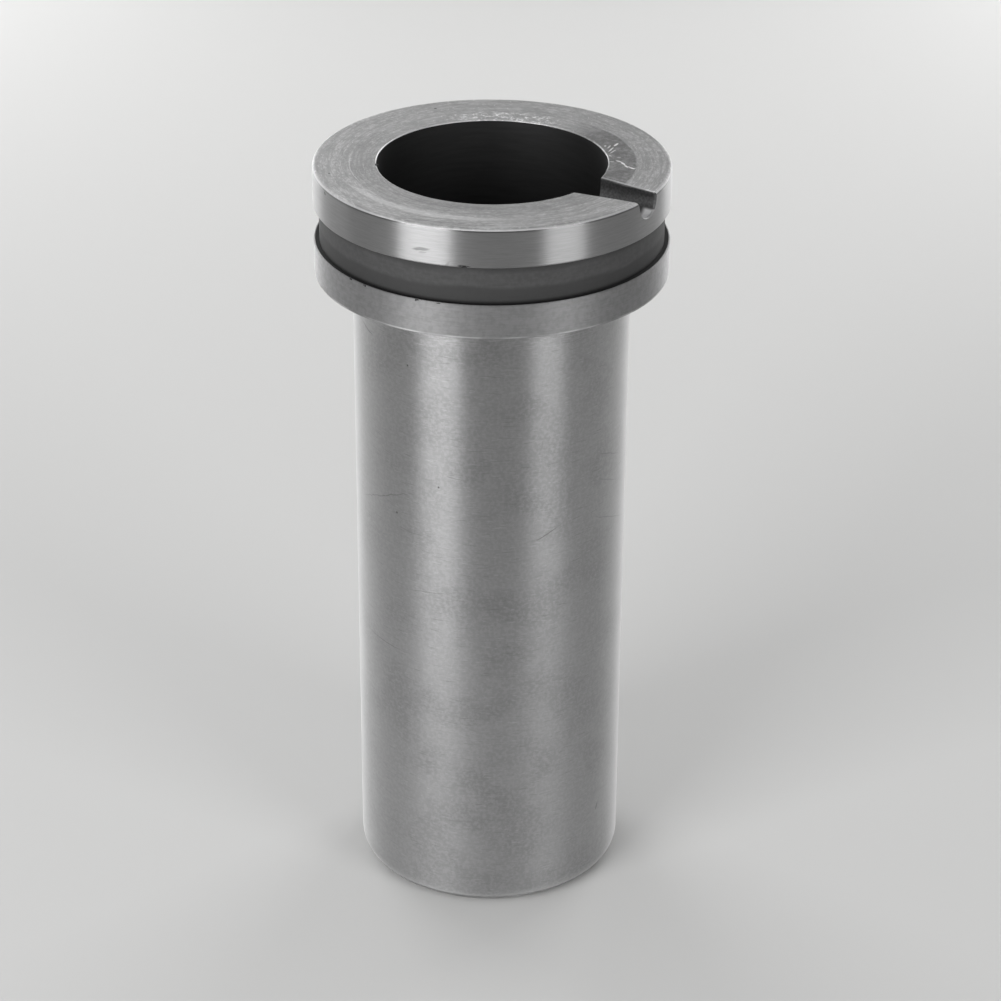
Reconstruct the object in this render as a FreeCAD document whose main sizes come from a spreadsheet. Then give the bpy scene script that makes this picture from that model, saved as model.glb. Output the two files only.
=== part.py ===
import FreeCAD, Part
import math
import os
import Sketcher

# A small double ring melting crucible, machined from one bar of graphite.
# The origin is the centre of the foot, Z is the turning axis, and the
# pouring notch points along +X. Lengths are millimetres, angles degrees.

DRIVING_SIZES = {
    # Turned body and its blind bore.
    "total_height": 125.0,
    "body_diameter": 44.0,
    "wall_thickness": 4.0,
    "floor_thickness": 8.0,
    "floor_corner_radius": 6.0,
    "foot_radius": 3.0,
    # Two collars, with the shallow groove that the tongs grip between them.
    "collar_overhang": 6.0,
    "upper_collar_thickness": 6.3,
    "tong_groove_height": 6.0,
    "tong_groove_depth": 0.9,
    "lower_collar_thickness": 5.5,
    # Pouring notch: a round-bottomed cut that narrows and rises towards the
    # rim, runs a little askew and tips over to one side as it leaves it.
    "notch_mouth_width": 4.7,
    "notch_taper_angle": 15.0,
    "notch_mouth_depth": 3.3,
    "notch_floor_slope": 10.0,
    "notch_skew_angle": 3.4,
    "notch_mouth_lean": 20.0,
    # The rim is rounded, the other sharp edges are broken, and each cut
    # starts clear of the piece.
    "rim_edge_radius": 0.6,
    "edge_break": 0.25,
    "cutter_clearance": 2.0,
}

# Sizes that follow from the driving ones, as expressions of the sheet.
BODY_RADIUS = "(sizes.body_diameter / 2)"
BORE_RADIUS = f"({BODY_RADIUS} - sizes.wall_thickness)"
COLLAR_RADIUS = f"({BODY_RADIUS} + sizes.collar_overhang)"
NECK_RADIUS = f"({COLLAR_RADIUS} - sizes.tong_groove_depth)"
FLAT_TOP_RADIUS = f"({COLLAR_RADIUS} - sizes.rim_edge_radius)"
CLEAR_OF_BORE = f"({BORE_RADIUS} - sizes.cutter_clearance)"
CLEAR_OF_COLLAR = f"({COLLAR_RADIUS} + sizes.cutter_clearance)"
CLEAR_OF_RIM = "(sizes.total_height + sizes.cutter_clearance)"
CLEAR_OF_FOOT = "(-sizes.cutter_clearance)"
GROOVE_TOP = "(sizes.total_height - sizes.upper_collar_thickness)"
GROOVE_BOTTOM = f"({GROOVE_TOP} - sizes.tong_groove_height)"
COLLARS_UNDERSIDE = f"({GROOVE_BOTTOM} - sizes.lower_collar_thickness)"

# Numbers by which a sketch knows the points of a line or an arc, and its
# own origin.
START, END, CENTRE = range(1, 4)
SKETCH_ORIGIN = (-1, START)

FULL_TURN = 360
POSITION_TOLERANCE = 0.001


def make_size_sheet(document):
    """Fill the spreadsheet with one named cell for each driving size."""
    sheet = document.addObject("Spreadsheet::Sheet", "sizes")
    for row, (name, value) in enumerate(DRIVING_SIZES.items(), start=1):
        sheet.set(f"A{row}", name)
        sheet.set(f"B{row}", str(value))
        sheet.setAlias(f"B{row}", name)
    document.recompute()


def number(item, expression):
    """Work out an expression of the sheet as a plain number."""
    return float(item.evalExpression(expression))


def new_sketch(body, name, role):
    """Add an empty sketch to a body, flat on the origin plane of that role."""
    planes = [item for item in body.Origin.OriginFeatures if item.Role == role]
    sketch = body.newObject("Sketcher::SketchObject", name)
    sketch.AttachmentSupport = (planes[0], [""])
    sketch.MapMode = "FlatFace"
    return sketch


def tie(sketch, kind, *elements):
    """Add a geometric constraint between elements of a sketch."""
    sketch.addConstraint(Sketcher.Constraint(kind, *elements))


def bind(sketch, name, expression, kind, *elements):
    """Add a named dimension to a sketch and tie it to the sheet."""
    value = number(sketch, expression)
    index = sketch.addConstraint(Sketcher.Constraint(kind, *elements, value))
    sketch.renameConstraint(index, name)
    sketch.setExpression(f"Constraints.{name}", expression)


def finish_cut(body, cut, volume_before):
    """Recompute after a cut and make sure that it took material away."""
    body.Document.recompute()
    if body.Shape.Volume >= volume_before:
        raise ValueError(f"{cut.Name} cuts nothing")


def bar_stock(body):
    """Stand a round bar of the collars' diameter on the foot plane."""
    sketch = new_sketch(body, "bar_section", "XY_Plane")
    centre = FreeCAD.Vector(0, 0, 0)
    upright = FreeCAD.Vector(0, 0, 1)
    sketch.addGeometry(Part.Circle(centre, upright, number(sketch, COLLAR_RADIUS)))
    tie(sketch, "Coincident", 0, CENTRE, *SKETCH_ORIGIN)
    bind(sketch, "radius", COLLAR_RADIUS, "Radius", 0)
    bar = body.newObject("PartDesign::Pad", "bar_stock")
    bar.Profile = sketch
    bar.setExpression("Length", "sizes.total_height")
    body.Document.recompute()


def turned_cut(body, name, inner, outer, bottom, top):
    """Turn away a ring of rectangular section round the Z axis."""
    sketch = new_sketch(body, f"{name}_section", "XZ_Plane")
    low = FreeCAD.Vector(number(sketch, inner), number(sketch, bottom), 0)
    high = FreeCAD.Vector(number(sketch, outer), number(sketch, top), 0)
    low_outer = FreeCAD.Vector(high.x, low.y, 0)
    high_inner = FreeCAD.Vector(low.x, high.y, 0)
    low_side, outer_side, high_side, inner_side = range(4)
    sketch.addGeometry(Part.LineSegment(low, low_outer))
    sketch.addGeometry(Part.LineSegment(low_outer, high))
    sketch.addGeometry(Part.LineSegment(high, high_inner))
    sketch.addGeometry(Part.LineSegment(high_inner, low))
    tie(sketch, "Coincident", low_side, END, outer_side, START)
    tie(sketch, "Coincident", outer_side, END, high_side, START)
    tie(sketch, "Coincident", high_side, END, inner_side, START)
    tie(sketch, "Coincident", inner_side, END, low_side, START)
    tie(sketch, "Horizontal", low_side)
    tie(sketch, "Vertical", outer_side)
    tie(sketch, "Horizontal", high_side)
    tie(sketch, "Vertical", inner_side)
    bind(sketch, "inner", inner, "DistanceX", *SKETCH_ORIGIN, low_side, START)
    bind(sketch, "bottom", bottom, "DistanceY", *SKETCH_ORIGIN, low_side, START)
    bind(sketch, "outer", outer, "DistanceX", *SKETCH_ORIGIN, high_side, START)
    bind(sketch, "top", top, "DistanceY", *SKETCH_ORIGIN, high_side, START)
    volume_before = body.Shape.Volume
    cut = body.newObject("PartDesign::Groove", name)
    cut.Profile = sketch
    cut.ReferenceAxis = (sketch, ["V_Axis"])
    cut.Angle = FULL_TURN
    finish_cut(body, cut, volume_before)


def notch_section(body, name, distance, lean):
    """Draw the notch's U section at a distance from the axis, square to X.

    A centreline starts at the rim's height, off the middle by the skew,
    leans from the vertical and is as long as the notch is deep there. The U
    is a half circle that ends on it, as wide as the taper gives, with a wall
    on each side that runs up past the rim.
    """
    sketch = new_sketch(body, name, "YZ_Plane")
    sketch.setExpression("AttachmentOffset.Base.z", distance)
    inwards = f"({COLLAR_RADIUS} - {distance})"
    half_taper = "(sizes.notch_taper_angle / 2)"
    radius = f"(sizes.notch_mouth_width / 2 + {inwards} * tan({half_taper}))"
    depth = f"(sizes.notch_mouth_depth + {inwards} * tan(sizes.notch_floor_slope))"
    offset = f"(({distance} - {BODY_RADIUS}) * tan(sizes.notch_skew_angle))"
    wall = f"({depth} + sizes.cutter_clearance)"
    angle = math.radians(number(sketch, lean))
    down = FreeCAD.Vector(math.sin(angle), -math.cos(angle), 0)
    across = FreeCAD.Vector(math.cos(angle), math.sin(angle), 0)
    rim_height = number(sketch, "sizes.total_height")
    rim = FreeCAD.Vector(number(sketch, offset), rim_height, 0)
    bottom = rim + down * number(sketch, depth)
    centre = bottom - down * number(sketch, radius)
    half_width = across * number(sketch, radius)
    left = centre - half_width
    right = centre + half_width
    wall_up = down * -number(sketch, wall)
    circle = Part.Circle(centre, FreeCAD.Vector(0, 0, 1), number(sketch, radius))
    left_wall, round_bottom, right_wall, lid, centreline = range(5)
    sketch.addGeometry(Part.LineSegment(left + wall_up, left))
    sketch.addGeometry(Part.ArcOfCircle(circle, math.pi + angle, 2 * math.pi + angle))
    sketch.addGeometry(Part.LineSegment(right, right + wall_up))
    sketch.addGeometry(Part.LineSegment(right + wall_up, left + wall_up))
    sketch.addGeometry(Part.LineSegment(rim, bottom), True)
    tie(sketch, "Tangent", left_wall, END, round_bottom, START)
    tie(sketch, "Tangent", round_bottom, END, right_wall, START)
    tie(sketch, "Coincident", right_wall, END, lid, START)
    tie(sketch, "Coincident", lid, END, left_wall, START)
    tie(sketch, "Parallel", left_wall, right_wall)
    tie(sketch, "Equal", left_wall, right_wall)
    tie(sketch, "Parallel", left_wall, centreline)
    tie(sketch, "PointOnObject", round_bottom, CENTRE, centreline)
    tie(sketch, "PointOnObject", centreline, END, round_bottom)
    drift = f"({depth} * sin({lean}))"
    bind(sketch, "offset", offset, "DistanceX", *SKETCH_ORIGIN, centreline, START)
    bind(sketch, "rim", "sizes.total_height", "DistanceY", *SKETCH_ORIGIN, centreline, START)
    bind(sketch, "depth", depth, "Distance", centreline)
    bind(sketch, "drift", drift, "DistanceX", centreline, START, centreline, END)
    bind(sketch, "radius", radius, "Radius", round_bottom)
    bind(sketch, "wall", wall, "Distance", left_wall)
    return sketch


def pouring_notch(body):
    """Cut the notch as one straight-sided loft, from in the bore to past the rim."""
    throat = notch_section(body, "notch_throat", CLEAR_OF_BORE, "0")
    mouth = notch_section(body, "notch_mouth", CLEAR_OF_COLLAR, "sizes.notch_mouth_lean")
    volume_before = body.Shape.Volume
    notch = body.newObject("PartDesign::SubtractiveLoft", "pouring_notch")
    notch.Profile = throat
    notch.Sections = [mouth]
    notch.Ruled = True
    finish_cut(body, notch, volume_before)


def circular_edges(body, radius, height):
    """Name the body's edges that are arcs of one radius at one height."""
    names = []
    for index, edge in enumerate(body.Shape.Edges, start=1):
        if isinstance(edge.Curve, Part.Circle):
            off_radius = abs(edge.Curve.Radius - number(body, radius))
            off_height = abs(edge.Curve.Center.z - number(body, height))
            if max(off_radius, off_height) < POSITION_TOLERANCE:
                names.append(f"Edge{index}")
    return names


def top_face_edges(body):
    """Name the edges that lie wholly in the flat top face."""
    rim = number(body, "sizes.total_height")
    names = []
    for index, edge in enumerate(body.Shape.Edges, start=1):
        box = edge.BoundBox
        if max(abs(box.ZMin - rim), abs(box.ZMax - rim)) < POSITION_TOLERANCE:
            names.append(f"Edge{index}")
    return names


def sharp_edges(body):
    """Name the edges of the flat top and the collars that are left to break.

    The flat top runs smoothly into the rim's rounding, so that edge is not
    among them.
    """
    smooth_edge = circular_edges(body, FLAT_TOP_RADIUS, "sizes.total_height")
    names = [name for name in top_face_edges(body) if name not in smooth_edge]
    for height in (GROOVE_TOP, GROOVE_BOTTOM, COLLARS_UNDERSIDE):
        names += circular_edges(body, COLLAR_RADIUS, height)
    return names


def fillet(body, name, edges, radius):
    """Round the named edges by a size of the sheet."""
    base = body.Tip
    rounding = body.newObject("PartDesign::Fillet", name)
    rounding.Base = (base, edges)
    rounding.setExpression("Radius", radius)
    body.Document.recompute()


def chamfer(body, name, edges, size):
    """Bevel the named edges by a size of the sheet."""
    base = body.Tip
    bevel = body.newObject("PartDesign::Chamfer", name)
    bevel.Base = (base, edges)
    bevel.setExpression("Size", size)
    body.Document.recompute()


def crucible(document):
    """Machine the crucible in the order of the real operations."""
    body = document.addObject("PartDesign::Body", "crucible")
    body.Label = "crucible"
    bar_stock(body)
    turned_cut(body, "body_turning", BODY_RADIUS, CLEAR_OF_COLLAR, CLEAR_OF_FOOT, COLLARS_UNDERSIDE)
    turned_cut(body, "tong_groove", NECK_RADIUS, CLEAR_OF_COLLAR, GROOVE_BOTTOM, GROOVE_TOP)
    turned_cut(body, "bore", "0", BORE_RADIUS, "sizes.floor_thickness", CLEAR_OF_RIM)
    inner_corner = circular_edges(body, BORE_RADIUS, "sizes.floor_thickness")
    fillet(body, "floor_corner", inner_corner, "sizes.floor_corner_radius")
    foot_edge = circular_edges(body, BODY_RADIUS, "0")
    fillet(body, "foot_round", foot_edge, "sizes.foot_radius")
    rim_edge = circular_edges(body, COLLAR_RADIUS, "sizes.total_height")
    fillet(body, "rim_round", rim_edge, "sizes.rim_edge_radius")
    pouring_notch(body)
    chamfer(body, "broken_edges", sharp_edges(body), "sizes.edge_break")
    return body


def check(document, piece):
    """Stop before anything is written if a feature or the solid has failed."""
    for item in document.Objects:
        if "Invalid" in item.State or "Error" in item.State:
            raise ValueError(f"{item.Name} did not recompute")
    shape = piece.Shape
    if shape.isNull() or not shape.isValid() or len(shape.Solids) != 1:
        raise ValueError(f"{piece.Label} is not one sound solid")


def main():
    """Build the crucible and write it to parts."""
    document = FreeCAD.newDocument("foundry_crucible")
    make_size_sheet(document)
    piece = crucible(document)
    document.recompute()
    check(document, piece)
    os.makedirs("parts", exist_ok=True)
    piece.Shape.exportStep(os.path.join("parts", f"{piece.Label}.step"))
    print(piece.Label, "volume", round(piece.Shape.Volume), "cubic mm")


main()
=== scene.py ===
import math

import bpy
import numpy as np
from bpy.props import FloatProperty, FloatVectorProperty, PointerProperty
from bpy.types import Operator, Panel, PropertyGroup
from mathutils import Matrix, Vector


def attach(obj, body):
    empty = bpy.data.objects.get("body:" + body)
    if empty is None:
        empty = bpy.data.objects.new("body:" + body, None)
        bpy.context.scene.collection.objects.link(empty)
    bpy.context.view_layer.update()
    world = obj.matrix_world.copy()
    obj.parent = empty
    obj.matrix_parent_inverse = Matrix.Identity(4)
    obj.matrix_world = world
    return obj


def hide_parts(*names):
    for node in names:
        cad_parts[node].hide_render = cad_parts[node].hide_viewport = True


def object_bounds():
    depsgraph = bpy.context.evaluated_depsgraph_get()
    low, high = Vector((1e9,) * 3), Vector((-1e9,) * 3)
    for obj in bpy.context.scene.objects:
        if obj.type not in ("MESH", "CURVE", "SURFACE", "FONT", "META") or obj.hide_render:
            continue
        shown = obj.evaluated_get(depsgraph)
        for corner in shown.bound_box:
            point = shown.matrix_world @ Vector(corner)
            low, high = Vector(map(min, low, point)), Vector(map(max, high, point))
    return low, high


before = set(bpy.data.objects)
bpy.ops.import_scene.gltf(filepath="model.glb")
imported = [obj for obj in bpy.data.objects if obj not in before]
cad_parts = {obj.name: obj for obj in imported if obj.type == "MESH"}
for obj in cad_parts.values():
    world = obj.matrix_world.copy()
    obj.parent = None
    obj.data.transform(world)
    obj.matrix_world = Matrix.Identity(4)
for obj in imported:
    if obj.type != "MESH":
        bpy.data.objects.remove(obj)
CAD_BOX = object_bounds()

bl_info = {
    "name": "Foundry crucible",
    "version": (1, 0, 0),
    "blender": (4, 5, 0),
    "location": "View3D > Sidebar > Crucible",
    "description": "Makes a turned graphite crucible and a plain studio round it",
    "category": "Add Mesh",
}

# The tables below are in millimetres and degrees. The origin is the centre
# of the foot, and the pouring notch points along +X.
MM = 0.001

# How finely the surfaces are divided.
SEGMENTS = 600
ROUND_STEPS = 4
RIM_STEPS = 7
FOOT_STEPS = 10
NOTCH_SECTIONS = 14
MOUTH_SECTIONS = 22
NOTCH_POINTS = 56
NOTCH_SAMPLES = 400
SMOOTH_BELOW = math.radians(30.0)

# A face is flat where its normal's vertical part is larger than this.
FLAT_ABOVE = 0.5

# Rows of points beside an outer edge, as distances from it.
ROWS_BY_AN_EDGE = (0.05, 0.25, 0.5, 0.85, 1.3)

# The notch is a straight blend of two sections, one this far inside the
# bore's wall and one this far outside the collar's.
CUTTER_OVERRUN = 2.0 * MM

# How far above the surface the notch's cutter ends, and how far under it
# its fine sections begin.
CUTTER_RISE = 0.5 * MM
MOUTH_ZONE = 1.3 * MM

# Chips that have broken off sharp edges: angle round the axis, then the
# edge's radius and height, then half their length along the edge, their
# reach up and down it and their depth.
CHIPS = (
    (-65.0, 28.0, 118.7, 0.6, 0.3, 0.3),
    (-80.6, 28.0, 112.7, 0.4, 0.22, 0.2),
    (-100.1, 28.0, 112.7, 0.35, 0.22, 0.2),
    (-140.5, 18.0, 125.0, 0.4, 0.3, 0.25),
    (96.0, 28.0, 118.7, 1.2, 0.5, 0.4),
    (171.0, 28.0, 112.7, 0.9, 0.4, 0.4),
    (-73.2, 28.0, 112.7, 0.3, 0.15, 0.15),
    (-106.7, 28.0, 112.7, 0.5, 0.15, 0.2),
)

# Marks on the surface. Each runs from one place to another: angle round the
# axis and height plus radius at both ends, then the half width, the waver
# and the strength. The shine is bright and the other marks are dark.
BODY_MARKS = (
    (-93.2, 120.1, -92.2, 120.2, 0.22, 0.0, 0.85),
    (-79.0, 100.3, -78.0, 100.4, 0.22, 0.0, 0.85),
    (-100.0, 93.6, -98.6, 93.7, 0.24, 0.0, 0.8),
    (-2.6, 35.0, -0.6, 36.6, 0.22, 0.3, 0.7),
    (-125.5, 123.9, -112.0, 122.4, 0.16, 0.5, 0.7),
    (-38.8, 90.9, -27.0, 93.0, 0.15, 0.5, 0.5),
    (-126.0, 68.6, -93.0, 68.5, 0.10, 0.3, 0.45),
    (-130.0, 92.0, -88.0, 98.6, 0.11, 0.8, 0.45),
    (-8.0, 103.6, 16.0, 99.6, 0.11, 0.5, 0.45),
    (-7.0, 98.8, 12.0, 95.6, 0.10, 0.4, 0.4),
    (-11.0, 92.6, 24.0, 87.0, 0.10, 0.4, 0.45),
    (-96.0, 80.4, -72.0, 81.6, 0.10, 0.5, 0.35),
)
COLLAR_MARKS = (
    (-82.3, 148.8, -75.2, 149.2, 0.30, 0.4, 0.5),
    (-80.0, 148.4, -76.5, 148.6, 0.20, 0.4, 0.25),
    (-72.0, 145.8, -69.5, 147.6, 0.30, 0.5, 0.25),
    (-122.6, 152.4, -121.2, 151.9, 0.28, 0.4, 0.8),
    (-67.6, 146.95, -62.8, 146.9, 0.32, 0.3, 0.85),
)
FACE_MARKS = (
    (144.3, 149.9, 145.9, 149.9, 0.28, 0.0, 0.8),
    (-134.2, 150.6, -133.0, 150.8, 0.30, 0.3, 0.6),
    (30.0, 146.9, 26.0, 147.6, 0.30, 0.5, 0.3),
    (-95.0, 151.4, -45.0, 151.5, 0.7, 0.6, 0.2),
    (-104.0, 144.8, -36.0, 145.0, 1.0, 0.5, 0.15),
)
FACE_SHINE = (
    (34.3, 144.1, 31.9, 145.2, 0.22, 0.4, 0.8),
    (32.4, 144.9, 28.2, 145.8, 0.26, 0.4, 0.95),
    (29.0, 145.6, 25.4, 146.2, 0.24, 0.4, 0.9),
    (26.8, 146.0, 26.6, 146.5, 0.24, 0.3, 0.8),
    (26.6, 146.2, 24.2, 147.4, 0.28, 0.4, 0.95),
    (25.8, 146.9, 24.6, 147.2, 0.45, 0.5, 0.6),
    (45.6, 143.4, 51.0, 145.1, 0.20, 0.3, 0.75),
    (49.9, 143.8, 53.8, 145.0, 0.18, 0.3, 0.6),
    (52.4, 143.7, 54.5, 144.2, 0.24, 0.3, 0.6),
    (51.6, 145.0, 55.2, 146.5, 0.26, 0.3, 0.85),
    (43.2, 143.5, 47.8, 145.1, 0.20, 0.3, 0.6),
    (41.6, 143.3, 39.2, 143.8, 0.20, 0.3, 0.5),
    (32.7, 143.2, 32.3, 144.1, 0.24, 0.3, 0.5),
    (38.4, 144.4, 37.6, 145.2, 0.30, 0.4, 0.35),
    (-78.0, 151.6, -71.0, 149.8, 0.10, 0.8, 0.4),
    (-74.0, 152.2, -66.0, 150.6, 0.09, 0.8, 0.3),
    (-162.0, 147.2, -116.0, 147.2, 0.12, 0.4, 0.35),
    (-130.0, 148.6, -36.0, 149.2, 1.0, 0.6, 0.32),
)

# Radii at which the marks' lengths round the axis are measured.
BODY_MARKS_AT, COLLAR_MARKS_AT, FACE_MARKS_AT = 22.0, 28.0, 22.0

# Turning lines: how many there are per millimetre, then how soon they fade.
BODY_LINES = (6.0, 10.0)
COLLAR_LINES = (6.0, 8.0)
FACE_RINGS = (2.2, 4.0)
FACE_STROKES = (3.5, 30.0)
GROOVE_LINES = (3.0, 5.0)
BORE_LINES = (2.0, 3.0)

# Fine scratches: their tilts, length and width, then how rare they are.
BODY_SCRATCHES = ((3.0, -6.0), 4.0, 0.2, 0.68)
BODY_RUBS = ((1.0, -3.0), 2.0, 0.2, 0.68)
COLLAR_SCRATCHES = ((1.0, -9.0), 4.0, 0.14, 0.70)
FACE_SCRATCHES = ((2.0, -12.0, 25.0), 2.5, 0.2, 0.68)

# Noise: its scale, detail and roughness. The first two are stretched before
# use, and the scale of the others is for each metre.
LINE_NOISE = (1.0, 3.0, 0.6)
SCRATCH_NOISE = (1.0, 1.0)
WAVER_NOISE = (700.0, 2.0)
BODY_CLOUDS = (110.0, 3.0)
BODY_GRAIN = (1800.0, 2.0, 0.6)
COLLAR_CLOUDS = (160.0, 3.0)
COLLAR_MOTTLE = (1200.0, 3.0, 0.6)
FACE_BLOTCHES = (500.0, 4.0, 0.65)
FACE_SMEARS = (900.0, 4.0, 0.7)
GROOVE_GRAIN = (1300.0, 3.0, 0.6)
GROOVE_CLOUDS = (120.0, 2.0)
NOTCH_GRAIN = (2600.0, 3.0, 0.6)

# Values of the noise between which a mask rises.
LINE_SPAN = (0.3, 0.7)
RIDGE_SPAN = (0.5, 0.62)
RING_SPAN = (0.45, 0.55)
STROKE_SPAN = (0.48, 0.62)
CLOUD_SPAN = (0.42, 0.65)
GRAIN_SPAN = (0.4, 0.65)
BLOTCH_SPAN = (0.35, 0.65)
EDGE_SPAN = (0.3, 0.6)
SCUFF_STROKE_SPAN = (0.42, 0.58)
SCUFF_SMEAR_SPAN = (0.45, 0.6)
SCRATCH_SOFTNESS = 0.05

# A mark fades between these shares of the way to its outline.
MARK_FADE = (0.5, 1.0)

# Heights, radii (millimetres) and angles (degrees) between which a look
# fades in or out.
FOOT_DULLING = (10.0, 105.0)
UNDER_THE_COLLAR = (101.5, 106.0)
# Along the lower collar's underside edge, a painted highlight.
UNDERSIDE_HIGHLIGHT_BELOW = (107.3, 107.4)
UNDERSIDE_HIGHLIGHT_ABOVE = (107.5, 107.65)
LOWER_COLLAR_END = (114.0, 117.0)
# Just under the rim's rounding, painted shade.
RIM_EDGE_SHADE = (124.35, 124.5)
# In the groove's corner, low part and high part, painted shade.
GROOVE_CORNER_SHADE = (112.75, 113.3)
GROOVE_LOW_SHADE = (115.4, 116.2)
GROOVE_HIGH_SHADE = (118.0, 118.9)
# Along the faces' outer edge, a painted highlight.
FACE_OUTER_EDGE_HIGHLIGHT = (27.7, 27.8)
FACE_OUTER_DULLING = (27.3, 27.6)
# Along the bore's edge on the top, a painted highlight.
FACE_BORE_EDGE_HIGHLIGHT = (18.15, 18.3)
WORN_RADIUS = (22.5, 22.9)
WORN_START = (-4.0, 2.0)
WORN_END = (62.0, 92.0)
SCUFFED_RADIUS = (21.0, 22.4)
SCUFFED_START = (84.0, 100.0)
SCUFFED_END = (128.0, 150.0)
NOTCH_TOP_EDGE = (124.8, 124.9)
# Radii where the painted highlight on the notch's lip begins, and where it is toned down at its
# outer edge.
LIP_HIGHLIGHT_RADIUS = (25.8, 26.8)
LIP_HIGHLIGHT_EDGE_RADIUS = (27.6, 27.8)

# The notch's painted highlight on its lip lies under a sloping plane: how far
# the plane falls for each millimetre along Y, and its depths under the rim where
# Y is 0.
LIP_HIGHLIGHT_SLOPE = 0.3
LIP_HIGHLIGHT_DEPTH = (1.8, 2.3)
RIM_HEIGHT = 125.0

# The turn, in whole turns, that sets highlights along the profile.
QUARTER_TURN = 0.25

# Material slots of the turned piece, by what cut each face.
TURNED, COLLARED, FACED, GROOVED, BORED, FILED = range(6)


# Sizes and colours

class CrucibleSizes(PropertyGroup):
    """The sizes of the turned piece and of its notch."""

    height: FloatProperty(
        name="Height", description="From the foot to the rim",
        default=CAD_BOX[1].z, unit="LENGTH")
    collar_radius: FloatProperty(
        name="Collar radius", description="Outer radius of both collars",
        default=CAD_BOX[1].x, unit="LENGTH")
    body_radius: FloatProperty(
        name="Body radius", description="Outer radius of the body",
        default=22.0 * MM, unit="LENGTH")
    bore_radius: FloatProperty(
        name="Bore radius", description="Radius of the melt space",
        default=18.0 * MM, unit="LENGTH")
    floor: FloatProperty(
        name="Floor", description="Thickness under the melt space",
        default=8.0 * MM, unit="LENGTH")
    floor_round: FloatProperty(
        name="Inner corner", description="Radius between the floor and the wall",
        default=6.0 * MM, unit="LENGTH")
    foot_round: FloatProperty(
        name="Foot radius", description="Radius round the outside of the foot",
        default=3.0 * MM, unit="LENGTH")
    upper_collar: FloatProperty(
        name="Upper collar", description="Thickness of the upper collar",
        default=6.3 * MM, unit="LENGTH")
    groove: FloatProperty(
        name="Groove", description="Height of the groove for the tongs",
        default=6.0 * MM, unit="LENGTH")
    groove_depth: FloatProperty(
        name="Groove depth", description="How far the groove goes into the collars",
        default=0.9 * MM, unit="LENGTH")
    lower_collar: FloatProperty(
        name="Lower collar", description="Thickness of the lower collar",
        default=5.5 * MM, unit="LENGTH")
    rim_round: FloatProperty(
        name="Rim radius", description="Radius round the outside of the rim",
        default=0.6 * MM, unit="LENGTH")
    edge_break: FloatProperty(
        name="Broken edge", description="How far the other edges are taken back",
        default=0.25 * MM, unit="LENGTH")
    notch_width: FloatProperty(
        name="Notch width", description="Width of the notch at its mouth",
        default=4.7 * MM, unit="LENGTH")
    notch_depth: FloatProperty(
        name="Notch depth", description="Depth of the notch at its mouth",
        default=3.3 * MM, unit="LENGTH")
    notch_taper: FloatProperty(
        name="Notch taper", description="Angle between the walls of the notch",
        default=math.radians(15.0), subtype="ANGLE", unit="ROTATION")
    notch_slope: FloatProperty(
        name="Notch slope", description="How far the floor falls towards the bore",
        default=math.radians(10.0), subtype="ANGLE", unit="ROTATION")
    notch_skew: FloatProperty(
        name="Notch skew", description="How far the notch turns from the radius",
        default=math.radians(3.4), subtype="ANGLE", unit="ROTATION")
    notch_lean: FloatProperty(
        name="Notch lean", description="How far the notch tips over at its mouth",
        default=math.radians(20.0), subtype="ANGLE", unit="ROTATION")


class CrucibleColours(PropertyGroup):
    """The colours of the graphite and of the studio floor."""

    turned: FloatVectorProperty(
        name="Turned graphite", description="Colour of the body",
        subtype="COLOR", size=4, default=(0.24, 0.24, 0.242, 1.0))
    collared: FloatVectorProperty(
        name="Polished graphite", description="Colour of the collars' walls",
        subtype="COLOR", size=4, default=(0.27, 0.27, 0.272, 1.0))
    # Lighter than the walls: partly the faces' own tone and partly painted light, for the light they
    # catch from behind.
    faced: FloatVectorProperty(
        name="Faced graphite", description="Colour of the flat faces",
        subtype="COLOR", size=4, default=(0.49, 0.49, 0.492, 1.0))
    grooved: FloatVectorProperty(
        name="Grooved graphite", description="Colour between the collars",
        subtype="COLOR", size=4, default=(0.055, 0.055, 0.0555, 1.0))
    bored: FloatVectorProperty(
        name="Bored graphite", description="Colour of the inside",
        subtype="COLOR", size=4, default=(0.038, 0.038, 0.0385, 1.0))
    filed: FloatVectorProperty(
        name="Filed graphite", description="Colour of the notch",
        subtype="COLOR", size=4, default=(0.10, 0.10, 0.101, 1.0))
    floor: FloatVectorProperty(
        name="Studio floor", description="Colour of the floor",
        subtype="COLOR", size=4, default=(0.60, 0.60, 0.595, 1.0))


class StudioCamera(PropertyGroup):
    """Where the camera stands and how it looks."""

    place: FloatVectorProperty(
        name="Place", description="Where the camera stands",
        subtype="TRANSLATION", unit="LENGTH", default=(0.23855, -0.36316, 0.29292))
    turn: FloatVectorProperty(
        name="Turn", description="Tilt, roll and heading of the camera",
        subtype="EULER", unit="ROTATION",
        default=tuple(math.radians(a) for a in (62.3601, -0.3096, 33.2501)))
    lens: FloatProperty(
        name="Lens", description="Focal length", default=107.15, unit="CAMERA")


# Meshes

def new_piece(name, points, faces):
    """Make an object from a table of points and some tables of faces.

    Each table holds the corner numbers of faces with as many sides as it
    has columns, counted counter-clockwise as seen from outside.
    """
    mesh = bpy.data.meshes.new(name)
    mesh.vertices.add(len(points))
    mesh.vertices.foreach_set("co", np.asarray(points, np.float32).ravel())
    corners = np.concatenate([table.ravel() for table in faces])
    sides = np.concatenate([np.full(len(table), table.shape[1]) for table in faces])
    mesh.loops.add(len(corners))
    mesh.loops.foreach_set("vertex_index", corners.astype(np.int32))
    mesh.polygons.add(len(sides))
    mesh.polygons.foreach_set("loop_start", (np.cumsum(sides) - sides).astype(np.int32))
    mesh.update(calc_edges=True)
    mesh.validate()
    piece = bpy.data.objects.new(name, mesh)
    bpy.context.scene.collection.objects.link(piece)
    return piece


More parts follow.
